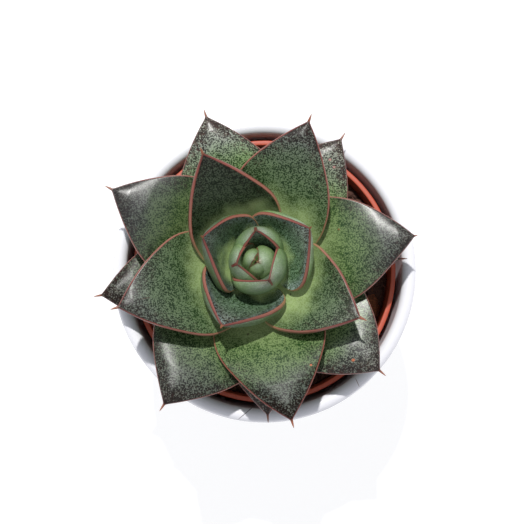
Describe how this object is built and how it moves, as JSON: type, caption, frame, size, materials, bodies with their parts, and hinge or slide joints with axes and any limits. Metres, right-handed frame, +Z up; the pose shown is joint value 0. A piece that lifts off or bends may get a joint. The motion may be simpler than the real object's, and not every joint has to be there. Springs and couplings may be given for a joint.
{
  "type": "potted succulent",
  "caption": "Rosette succulent with thick pointed leaves, growing in a plastic nursery pot that stands inside a round white glazed ceramic cover pot.",
  "frame": {"origin": "middle of the cover pot's flat underside, on the plane that it stands on", "axes": "+Z up along the pots' common axis; +Y towards the side of the rosette that is at the top of the picture, +X to the picture's right"},
  "size_m": [0.1025, 0.099, 0.1172],
  "materials": {
    "glaze": "glossy white ceramic glaze",
    "terracotta_plastic": "satin terracotta-coloured plastic",
    "soil": "rough dark peat with bark chips",
    "stem": "dull fleshy stem",
    "leaf": "waxy speckled grey-green skin with red-brown margins"
  },
  "bodies": {
    "root": {"cover_pot": "glaze", "grow_pot": "terracotta_plastic", "soil": "soil", "stem": "stem", "bud": "leaf", "leaf_01": "leaf", "leaf_02": "leaf", "leaf_03": "leaf", "leaf_04": "leaf", "leaf_05": "leaf", "leaf_06": "leaf", "leaf_07": "leaf", "leaf_08": "leaf", "leaf_09": "leaf", "leaf_10": "leaf", "leaf_11": "leaf", "leaf_12": "leaf", "leaf_13": "leaf", "leaf_14": "leaf", "leaf_15": "leaf", "leaf_16": "leaf", "leaf_17": "leaf"}
  },
  "joints": []
}
